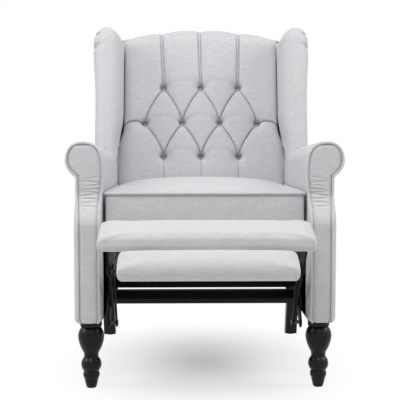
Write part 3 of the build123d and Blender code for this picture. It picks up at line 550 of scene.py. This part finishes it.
def seat_held(at):
    """Sewn edges and the face on the deck hold still."""
    front = at[1] - seat_low[1]
    rear = seat_high[1] - at[1]
    side = seat_half - SEAT_DRAW - abs(at[0])
    seam_z = seat_edge(0, front / (front + rear)).z
    sewn = abs(at[2] - seam_z) < SEAM_HOLD and min(front, rear, side) < SEAM_HOLD
    return 1.0 if sewn or at[2] < seat_low[2] + SEAM_HOLD else 0.0


swell(seat, seat_held, SEAT_SWELL)
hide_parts("seat_cushion")
edge_line = [seat_edge(0, 1 - i / SEAM_STEPS) for i in range(SEAM_STEPS + 1)]
edge_line += [seat_edge(i / SEAM_STEPS, 0) for i in range(1, SEAM_STEPS + 1)]
edge_line += [seat_edge(1, i / SEAM_STEPS) for i in range(1, SEAM_STEPS + 1)]
seat_welt = make_welt("seat_welt", edge_line, cover_cloth, SEAT_WELT_RADIUS)
for piece in (seat, seat_welt):
    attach(piece, "seat")

# Back cushion: foam under the same cloth, pulled in by ten covered buttons in rows of three, four and three.
# Folded pleats run from button to button, straight up from the top row and straight down from the lowest.
hinge = [joint for joint in frame["record"]["behaviour"]["joints"] if joint["name"] == "recline"][0]["pos_m"]
BACK_LEAN = math.radians(12)
BACK_FRONT = 16 * MM
BACK_REAR = 91 * MM
BACK_CROWN = 22 * MM
BACK_BOTTOM = 84 * MM
BACK_TOP = 697 * MM
BACK_TOP_DROP = 28 * MM
BACK_HALF_LOW = 272 * MM
BACK_HALF_HIGH = 252 * MM
SHOULDER = (285 * MM, 395 * MM)
HIP = 5 * MM
HIP_FROM = (165 * MM, 190 * MM)
SIDE_FULLNESS = 24
SIDE_CLOSE = 0.25
BACK_EASE = 6 * MM
SCALLOP = 6 * MM
SCALLOP_FULLNESS = 0.6
BUTTON_PITCH = 121 * MM
BUTTON_ROWS = ((264 * MM, 3), (375 * MM, 4), (492 * MM, 3))
BUTTON_RADIUS = 7.5 * MM
BUTTON_SEAT = 17 * MM
BUTTON_DOME = 0.6
BUTTON_STEM = 1.6
BUTTON_GRID = (20, 12)
PLEAT_PAIR = 4.2 * MM
PLEAT_LEANS = (-8 * MM, -6 * MM, 2 * MM)
PLEAT_BOW = 0.7
PLEAT_SPREAD = 0.7
SIDE_PLEAT_REACH = 10 * MM
SIDE_PLEAT_UPS = (9 * MM, 6 * MM, -12 * MM)
FOLD_DEPTH = 12 * MM
FOLD_WIDTH = 1.4 * MM
FAINT_FOLD = 0.6
HOLLOW_DEPTH = 3.5 * MM
HOLLOW_WIDTH = 16 * MM
PUFF_ARCH = 22 * MM
PUFF_DEPTH = 1.5 * MM
PUFF_WIDTH = 9 * MM
DIMPLE_DEPTH = 24 * MM
DIMPLE_WIDTH = 14 * MM
DIMPLE_FALL = 1.3
PIT_DEPTH = 16 * MM
PIT_WIDTH = 7 * MM
PIT_ABOVE = 3 * MM
PIT_HALF = 4 * MM


def back_point(x, up, out):
    """Point of the back: up along its slope from the hinge, and out towards the sitter."""
    return Vector((x, hinge[1] + up * math.sin(BACK_LEAN) - out * math.cos(BACK_LEAN),
                   hinge[2] + up * math.cos(BACK_LEAN) + out * math.sin(BACK_LEAN)))


def row_places(count):
    """x of the buttons of one row."""
    return [(i - (count - 1) / 2) * BUTTON_PITCH for i in range(count)]


def bowed(start, end, pieces=12):
    """A pleat from an upper button that leaves sideways and drops more steeply onto the lower one."""
    points = []
    for i in range(pieces + 1):
        share = i / pieces
        sideways = share + PLEAT_BOW * (math.sin(share * math.pi / 2) - share)
        points.append((start[0] + (end[0] - start[0]) * sideways, start[1] + (end[1] - start[1]) * share))
    return points


def arched(start, end, rise, pieces=10):
    """A line from button to button that arches up over the puff below it."""
    points = []
    for i in range(pieces + 1):
        share = i / pieces
        points.append((start[0] + (end[0] - start[0]) * share,
                       start[1] + (end[1] - start[1]) * share + rise * 4 * share * (1 - share)))
    return points


buttons = []
for up, count in BUTTON_ROWS:
    buttons += [(x, up) for x in row_places(count)]
low_row, middle_row, high_row = [[b for b in buttons if b[1] == up] for up, _ in BUTTON_ROWS]
pleats = []
for upper in high_row + middle_row:
    below = middle_row if upper in high_row else low_row
    for lower in below:
        if abs(lower[0] - upper[0]) < BUTTON_PITCH:
            pleats.append(bowed(upper, lower))
for (x, up), lean in zip(high_row, PLEAT_LEANS):
    for offset in (-PLEAT_PAIR, PLEAT_PAIR):
        parted = (x + PLEAT_SPREAD * offset, up + 3 * PLEAT_PAIR)
        pleats.append([(x, up), parted, (x + lean + offset, BACK_TOP + SCALLOP)])
faint_pleats = [[(x, up), (x, BACK_BOTTOM)] for x, up in low_row]
puff_lines = []
for row in (low_row, middle_row, high_row):
    for start, end in zip(row, row[1:]):
        puff_lines.append(arched(start, end, PUFF_ARCH))
for x, up in (middle_row[0], middle_row[-1]):
    outer = math.copysign(BACK_HALF_HIGH + SIDE_PLEAT_REACH, x)
    side_pleat = [(x, up)]
    for third, lift in enumerate(SIDE_PLEAT_UPS, 1):
        side_pleat.append((x + (outer - x) * third / 3, up + lift))
    pleats.append(side_pleat)


def nearest(points, lines):
    """Distance of each point to the nearest of the lines, in the plane of the back."""
    best = np.full(len(points), 1.0)
    for line in lines:
        for start, end in zip(line, line[1:]):
            start, end = np.array(start), np.array(end)
            along = end - start
            share = np.clip((points - start) @ along / max(along @ along, 1e-12), 0.0, 1.0)
            foot = start + share[:, None] * along
            best = np.minimum(best, np.linalg.norm(points - foot, axis=1))
    return best


def tuft_depth(points):
    """How far the buttons and pleats pull the cloth in at each point."""
    fold = nearest(points, pleats)
    faint = nearest(points, faint_pleats)
    tie = nearest(points, [[b, b] for b in buttons])
    drawn_in = FOLD_DEPTH * np.exp(-fold / FOLD_WIDTH) + HOLLOW_DEPTH * np.exp(-fold / HOLLOW_WIDTH)
    drawn_in += FAINT_FOLD * FOLD_DEPTH * np.exp(-faint / FOLD_WIDTH)
    drawn_in += DIMPLE_DEPTH * np.exp(-(tie / DIMPLE_WIDTH) ** DIMPLE_FALL)
    drawn_in += PUFF_DEPTH * np.exp(-(nearest(points, puff_lines) / PUFF_WIDTH) ** 2)
    pit = nearest(points, [[(x - PIT_HALF, up + PIT_ABOVE), (x, up), (x + PIT_HALF, up + PIT_ABOVE)]
                           for x, up in buttons])
    return drawn_in + PIT_DEPTH * np.exp(-(pit / PIT_WIDTH) ** 4)


def face_at(across, run):
    """How far the back's face stands out before it is tufted: crowned across, flatter at its ends."""
    return BACK_FRONT + HOLLOW_DEPTH - BACK_CROWN * across ** 2 - BACK_EASE * (1 - np.sin(np.pi * run))


BACK_GRID = (380, 420)
BACK_RUNS = (0.84, 0.93, 0.98)
back_shape = bmesh.new()
bmesh.ops.create_grid(back_shape, x_segments=BACK_GRID[0], y_segments=BACK_GRID[1], size=0.5)
grid = np.array([(vert.co.x + 0.5, vert.co.y + 0.5) for vert in back_shape.verts])
across = 2 * grid[:, 0] - 1
run = grid[:, 1]
side_close = np.maximum(1 - np.abs(across) ** SIDE_FULLNESS, 0.0) ** SIDE_CLOSE
top_line = BACK_TOP - BACK_TOP_DROP * across ** 2
pleat_wave = np.abs(np.sin(np.pi * across * BACK_HALF_HIGH / BUTTON_PITCH))
top_line += SCALLOP * (pleat_wave ** SCALLOP_FULLNESS - 1)
rough_up = BACK_BOTTOM + (top_line - BACK_BOTTOM) * np.clip(run / BACK_RUNS[0], 0, 1)
half = BACK_HALF_LOW + HIP * smooth_step(rough_up, *HIP_FROM)
half += (BACK_HALF_HIGH - BACK_HALF_LOW - HIP) * smooth_step(rough_up, *SHOULDER)
back_x = across * half
# The grid runs up the front, over the top in a half circle, down the rear and forward underneath.
face_out = face_at(across, np.clip(run / BACK_RUNS[0], 0, 1))
arc_half = (face_out + BACK_REAR) / 2
up = BACK_BOTTOM + (top_line - arc_half - BACK_BOTTOM) * np.clip(run / BACK_RUNS[0], 0, 1)
out = face_out.copy()
turn = np.pi * np.clip((run - BACK_RUNS[0]) / (BACK_RUNS[1] - BACK_RUNS[0]), 0, 1)
over = run > BACK_RUNS[0]
middle_out = (face_out - BACK_REAR) / 2
up = np.where(over, top_line - arc_half + arc_half * np.sin(turn), up)
out = np.where(over, middle_out + arc_half * np.cos(turn), out)
behind = run > BACK_RUNS[1]
down = np.clip((run - BACK_RUNS[1]) / (BACK_RUNS[2] - BACK_RUNS[1]), 0, 1)
up = np.where(behind, top_line - arc_half - (top_line - arc_half - BACK_BOTTOM) * down, up)
out = np.where(behind, -BACK_REAR, out)
under = run > BACK_RUNS[2]
forward = np.clip((run - BACK_RUNS[2]) / (1 - BACK_RUNS[2]), 0, 1)
out = np.where(under, -BACK_REAR + (face_out + BACK_REAR) * forward, out)
# The tufting fades out over the top, and the sides close to a rounded edge.
drawn = tuft_depth(np.stack([back_x, up], axis=1))
front_share = np.where(over, np.clip(np.cos(turn) * 0.5 + 0.5, 0, 1) * (~behind), 1.0)
out = out - drawn * front_share
out = middle_out + (out - middle_out) * side_close
for vert, x, height, depth in zip(back_shape.verts, back_x, up, out):
    vert.co = back_point(x, height, depth)
back = make_piece("tufted_back_cover", back_shape, cover_cloth, 0.02 * MM)
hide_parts("back_cushion")
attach(back, "back")

button_shape = bmesh.new()
for x, up_at in buttons:
    sunk = FOLD_DEPTH + HOLLOW_DEPTH + DIMPLE_DEPTH + PIT_DEPTH
    seat_out = face_at(x / BACK_HALF_HIGH, (up_at - BACK_BOTTOM) / (BACK_TOP - BACK_BOTTOM)) - sunk
    seat_out += BUTTON_SEAT
    dome = bmesh.ops.create_uvsphere(button_shape, u_segments=BUTTON_GRID[0], v_segments=BUTTON_GRID[1],
                                     radius=BUTTON_RADIUS)
    for vert in dome["verts"]:
        flat = BUTTON_DOME if vert.co.z > 0 else BUTTON_STEM
        vert.co = back_point(x + vert.co.x, up_at + vert.co.y, seat_out + vert.co.z * flat)
covered_buttons = make_piece("covered_buttons", button_shape, cover_cloth)
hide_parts("back_buttons")
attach(covered_buttons, "back")

# Wings: padded ears each side of the back, thick and round at the front and the top.
# The cloth is gathered into small pleats over the outer corner of the top.
WING_INNER = 251 * MM
WING_OUTER = 336.5 * MM
WING_FORWARD = 141 * MM
WING_REAR = 92 * MM
WING_TOP = 665 * MM
WING_DOME = 48 * MM
WING_FLARE = 13 * MM
wing_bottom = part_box("wing_pad_left")[0][2]
WING_FLARE_HEIGHTS = (wing_bottom, wing_bottom + 103 * MM)
WING_TOP_FLARE = 8 * MM
WING_TOP_FLARE_UP = (430 * MM, 600 * MM)
WING_CREST_OUT = 6 * MM
WING_TONGUE = 46 * MM
WING_TONGUE_OUT = (40 * MM, 95 * MM)
WING_OVER_ROLL = 8 * MM
GATHERS = ((0.685, 8 * MM), (0.80, 7 * MM))
GATHER_TURN = math.radians(42)
GATHER_WIDTH = 0.012
GATHER_REACH = 0.5
WING_SQUARENESS = 3.0
WING_GRID = (120, 200)
WING_RUNS = (0.08, 0.72)


def wing_point(u, v):
    """u runs round the wing and v from the middle of its underside over the outside to its crest."""
    angle = 2 * math.pi * u
    cosine, sine = math.cos(angle), math.sin(angle)
    round_x = math.copysign(abs(cosine) ** (2 / WING_SQUARENESS), cosine)
    round_out = math.copysign(abs(sine) ** (2 / WING_SQUARENESS), sine)
    shrink, dome = 1.0, 0.0
    if v < WING_RUNS[0]:
        shrink = v / WING_RUNS[0]
    if v > WING_RUNS[1]:
        turn = (v - WING_RUNS[1]) / (1 - WING_RUNS[1]) * math.pi / 2
        shrink = math.cos(turn)
        dome = math.sin(turn)
    half_width = (WING_OUTER - WING_INNER) / 2
    half_depth = (WING_FORWARD + WING_REAR) / 2
    x = (WING_INNER + WING_OUTER) / 2 + round_x * half_width * shrink
    depth_shrink = shrink if v < WING_RUNS[0] else 1 - (1 - shrink) * WING_DOME / half_depth
    out = (WING_FORWARD - WING_REAR) / 2 + round_out * half_depth * depth_shrink
    inner_share = max(-round_x, 0.0)
    outer_share = max(round_x, 0.0)
    from_roll = x + WING_FLARE * inner_share - roll_x
    low_y = hinge[1] - out * math.cos(BACK_LEAN) + (wing_bottom - hinge[2]) * math.tan(BACK_LEAN)
    roll_crest = ROLL_TOP_FRONT + (ROLL_TOP_REAR - ROLL_TOP_FRONT) * (low_y - arm_front) / ROLL_END
    roll_under = roll_crest - ROLL_RADIUS + math.sqrt(max(ROLL_RADIUS ** 2 - from_roll ** 2, 0.0))
    tongue = min(max(wing_bottom - roll_under - WING_OVER_ROLL, 0.0), WING_TONGUE)
    if from_roll > 0:
        tongue = 0.0
    low_z = wing_bottom - tongue * smooth_step(out, *WING_TONGUE_OUT)
    low_up = (low_z - hinge[2] - out * math.sin(BACK_LEAN)) / math.cos(BACK_LEAN)
    rise = min(max((v - WING_RUNS[0]) / (WING_RUNS[1] - WING_RUNS[0]), 0.0), 1.0)
    up_at = low_up + (WING_TOP - WING_DOME - low_up) * rise + WING_DOME * dome
    at = back_point(x, up_at, out)
    at.x += WING_FLARE * inner_share * (1 - smooth_step(at.z, *WING_FLARE_HEIGHTS)) * shrink
    at.x += WING_TOP_FLARE * outer_share * smooth_step(up_at, *WING_TOP_FLARE_UP) * shrink
    at.x += WING_CREST_OUT * dome ** 2
    for crease_v, crease_depth in GATHERS:
        pull = math.exp(-((v - crease_v) / GATHER_WIDTH) ** 2)
        pull *= math.exp(-((angle - GATHER_TURN) / GATHER_REACH) ** 2)
        at.x -= crease_depth * pull * round_x
        at.y += crease_depth * pull
    return at


for side, mirror in (("left", 1), ("right", -1)):
    ear = bmesh.new()
    map_grid(ear, WING_GRID[0], WING_GRID[1], wing_point)
    bmesh.ops.scale(ear, vec=(mirror, 1, 1), verts=ear.verts)
    wing = make_piece("wing_cover_" + side, ear, cover_cloth)
    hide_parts("wing_pad_" + side)
    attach(wing, "back")

# Outer back: a thin padded panel in the same cloth that closes the rear of the frame.
# It is tacked to the back posts along its edges, over a welt that runs up, across the top and down.
PANEL_AT = 91.5 * MM
PANEL_PUFF = 7 * MM
PANEL_HALF = 325 * MM
PANEL_HALF_LOW = 264 * MM
PANEL_STEP = (282 * MM, 300 * MM)
PANEL_ROUND = 70 * MM
PANEL_FULLNESS = 8
PANEL_GRID = (70, 90)
TACK_STEPS = 60


def panel_point(u, v, puff):
    """Point of the outer back, u across and v up, standing out at the rear by its puff."""
    across_at = 2 * u - 1
    rough = BACK_BOTTOM + (BACK_TOP - BACK_BOTTOM) * v
    x = across_at * (PANEL_HALF_LOW + (PANEL_HALF - PANEL_HALF_LOW) * smooth_step(rough, *PANEL_STEP))
    beyond = max(abs(across_at) * PANEL_HALF - (PANEL_HALF - PANEL_ROUND), 0.0)
    top = BACK_TOP - BACK_TOP_DROP * across_at ** 2
    top -= PANEL_ROUND - math.sqrt(max(PANEL_ROUND ** 2 - beyond ** 2, 0.0))
    full = (1 - abs(across_at) ** PANEL_FULLNESS) ** 0.5 * (1 - abs(2 * v - 1) ** PANEL_FULLNESS) ** 0.5
    return back_point(x, BACK_BOTTOM + (top - BACK_BOTTOM) * v, -PANEL_AT - puff * full)


rear_shape = bmesh.new()
for puff in (PANEL_PUFF, 0.0):
    map_grid(rear_shape, PANEL_GRID[0], PANEL_GRID[1], lambda u, v: panel_point(u, v, puff))
outer_back = make_piece("outer_back_cover", rear_shape, cover_cloth)
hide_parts("outer_back_panel")
tacked = [panel_point(0, i / TACK_STEPS, 0) for i in range(TACK_STEPS)]
tacked += [panel_point(i / TACK_STEPS, 1, 0) for i in range(TACK_STEPS)]
tacked += [panel_point(1, 1 - i / TACK_STEPS, 0) for i in range(TACK_STEPS + 1)]
outer_welt = make_welt("outer_back_welt", tacked, cover_cloth)
for piece in (outer_back, outer_welt):
    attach(piece, "back")

# Leg rest: two foam pads on plywood, wrapped in the same cloth with soft round edges.
# The wide upper pad is the ottoman and the narrow lower one the flipper that folds behind it.
SLOPE = math.radians(14)
TILT = math.radians(10)
OTTOMAN_EDGE = (arm_front - 54 * MM, arm_bottom + 273 * MM)
OTTOMAN_SIZE = (540 * MM, 142 * MM, 26 * MM)
FLIPPER_AHEAD = 199 * MM
FLIPPER_BELOW = 6 * MM
FLIPPER_SIZE = (424 * MM, 90 * MM, 26 * MM)
PAD_START = 0.5 * MM
PAD_ROUND = 9 * MM
PAD_HELD = 13 * MM
PAD_BASE = 2 * MM
PAD_NOSE_RUN = (0.8, 1.0)
PAD_CUTS = 40
PAD_SWELL = 4 * MM
PAD_VOXEL = 4 * MM
PAD_CALMING = 14
OTTOMAN_FILL = (7 * MM, 5 * MM, 8 * MM)
FLIPPER_FILL = (9 * MM, 9 * MM, 4 * MM)


def rest_point(edge, slope, x, ahead, below):
    """Point of a pad: ahead of and below its top back edge."""
    return Vector((x, edge[0] - ahead * math.cos(slope) + below * math.sin(slope),
                   edge[1] - ahead * math.sin(slope) - below * math.cos(slope)))


flipper_edge = rest_point(OTTOMAN_EDGE, SLOPE, 0, FLIPPER_AHEAD, FLIPPER_BELOW)[1:]
RESTS = (
    ("ottoman", OTTOMAN_EDGE, SLOPE, OTTOMAN_SIZE, OTTOMAN_FILL),
    ("flipper", flipper_edge, SLOPE + TILT, FLIPPER_SIZE, FLIPPER_FILL),
)
for rest_name, edge, slope, (wide, long, thick), (pad_rise, pad_crown, pad_nose) in RESTS:
    pad_shape = box_shape(PAD_CUTS)
    floor_z = thick - PAD_BASE
    ceiling_z = PAD_START - pad_rise
    pad_half = Vector((wide / 2 - PAD_START, long / 2 - PAD_START, (floor_z - ceiling_z) / 2))
    core = pad_half - Vector((PAD_ROUND, PAD_ROUND, PAD_ROUND))
    for vert in pad_shape.verts:
        u, v, w = vert.co.x + 0.5, vert.co.y + 0.5, vert.co.z + 0.5
        corner = Vector([2 * at * size for at, size in zip(vert.co, pad_half)])
        heart = Vector([min(max(at, -size), size) for at, size in zip(corner, core)])
        if (corner - heart).length > 0:
            corner = heart + (corner - heart).normalized() * PAD_ROUND
        middle_z = (floor_z + ceiling_z) / 2
        below = middle_z - corner.z - pad_crown * crown_share(u, v) * w
        below += pad_nose * smooth_step(v, *PAD_NOSE_RUN) * (1 - w)
        vert.co = rest_point(edge, slope, corner.x, long / 2 + corner.y, below)
    pad = make_piece(rest_name + "_cover", pad_shape, cover_cloth)
    base_at = rest_point(edge, slope, 0, long / 2, floor_z)
    down = (rest_point(edge, slope, 0, 0, 1) - rest_point(edge, slope, 0, 0, 0)).normalized()

    def pad_held(at, base_at=base_at, down=down):
        """The lower half, stapled to the board, holds still."""
        return 1.0 if (Vector(at) - base_at).dot(down) > -PAD_HELD else 0.0

    swell(pad, pad_held, PAD_SWELL, PAD_VOXEL, PAD_CALMING)
    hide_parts(rest_name + "_pad", rest_name + "_board")
    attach(pad, rest_name)

# Legs and rear stretcher: turned and planed hardwood, sprayed near black and satin.
# The pores, about 1.5 mm apart, run along the grain and show a little through the lacquer.
def grained(name, pale, deep, grain, shine, relief, gloss, metallic=0.0):
    """A finish with a fine grain: its size along x, y and z, two colours, roughness from low to high,
    and the height of its relief."""
    finish = bpy.data.materials.new(name)
    finish.use_nodes = True
    tree = finish.node_tree
    tree.nodes.clear()
    place = add(tree, "TexCoord").outputs["Object"]
    stretched = add(tree, "Mapping", {"Vector": place, "Scale": [1 / size for size in grain]})
    noise = add(tree, "TexNoise", {"Vector": stretched.outputs[0], "Scale": 1.0, "Detail": 4.0,
                                   "Roughness": 0.6}).outputs[0]
    share = add(tree, "MapRange", {"Value": noise, "From Min": 0.35, "From Max": 0.65}).outputs[0]
    colour = add(tree, "Mix", {0: share, 6: linear(deep), 7: linear(pale)}, data_type="RGBA")
    rough = add(tree, "MapRange", {"Value": noise, "From Min": 0.3, "From Max": 0.7,
                                   "To Min": shine[0], "To Max": shine[1]})
    bump = add(tree, "Bump", {"Height": noise, "Strength": 0.5, "Distance": relief})
    skin = add(tree, "BsdfPrincipled", {"Base Color": colour.outputs[2], "Roughness": rough.outputs[0],
                                        "Metallic": metallic, "Specular IOR Level": gloss,
                                        "Normal": bump.outputs[0]})
    add(tree, "OutputMaterial", {"Surface": skin.outputs[0]})
    return finish


def finish_nodes(material, names):
    """Give CAD nodes their finish."""
    for name in names:
        nodes[name].data.materials.clear()
        nodes[name].data.materials.append(material)


PORE = 1.5 * MM
PORE_RUN = 40 * MM
LACQUER_SHINE = (0.24, 0.36)
LACQUER_RELIEF = 0.1 * MM
LACQUER_GLOSS = 0.22
lacquer = grained("black_satin_lacquer", "0b0a09", "040404", (PORE, PORE, PORE_RUN),
                  LACQUER_SHINE, LACQUER_RELIEF, LACQUER_GLOSS)
finish_nodes(lacquer, [name for name in nodes if "_leg_" in name])
cross_lacquer = grained("black_lacquer_cross_grain", "0b0a09", "040404", (PORE_RUN, PORE, PORE),
                        LACQUER_SHINE, LACQUER_RELIEF, LACQUER_GLOSS)
finish_nodes(cross_lacquer, ["rear_stretcher"])

# Mechanism: flat links and plates of pressed steel, powder coated black, on zinc-plated pins and screws.
# The coating has a fine orange peel, drawn three times as coarse as the real 0.6 mm.
# The plating is mottled grey.
slots = {row["node"]: row["material_slot"] for row in frame["record"]["subparts"]}
PEEL = (1.8 * MM,) * 3
MOTTLE = (3 * MM,) * 3
powder_coat = grained("black_powder_coated_steel", "0a0a0a", "040404", PEEL, (0.52, 0.66), 0.12 * MM, 0.07)
zinc = grained("black_zinc_plated_steel", "48494c", "333438", MOTTLE, (0.32, 0.48), 0.03 * MM, 0.5,
               metallic=1.0)
finish_nodes(powder_coat, [name for name in nodes if slots.get(name) == "black_steel"])
finish_nodes(zinc, [name for name in nodes if slots.get(name) == "zinc"])

# Frame boards: poplar plywood inside the upholstery, pale with a long faint grain and seen only from below.
# The boards that show beside the cushions are wrapped in the cover cloth.
# The glides nailed under the legs are black nylon with a fine moulded grain.
FACE_GRAIN = (5 * MM, 120 * MM, 5 * MM)
MOULD_GRAIN = (1.2 * MM,) * 3
plywood = grained("poplar_plywood", "d2b88f", "b7976a", FACE_GRAIN, (0.6, 0.8), 0.2 * MM, 0.3)
glide = grained("moulded_nylon_glide", "1e1e1e", "141414", MOULD_GRAIN, (0.4, 0.55), 0.05 * MM, 0.4)
finish_nodes(plywood, [name for name in nodes if slots.get(name) == "plywood"])
finish_nodes(cover_cloth, ["seat_front_rail", "back_post_left", "back_post_right", "back_rails",
                           "arm_frame_left", "arm_frame_right"])
finish_nodes(glide, [name for name in nodes if slots.get(name) == "glide"])
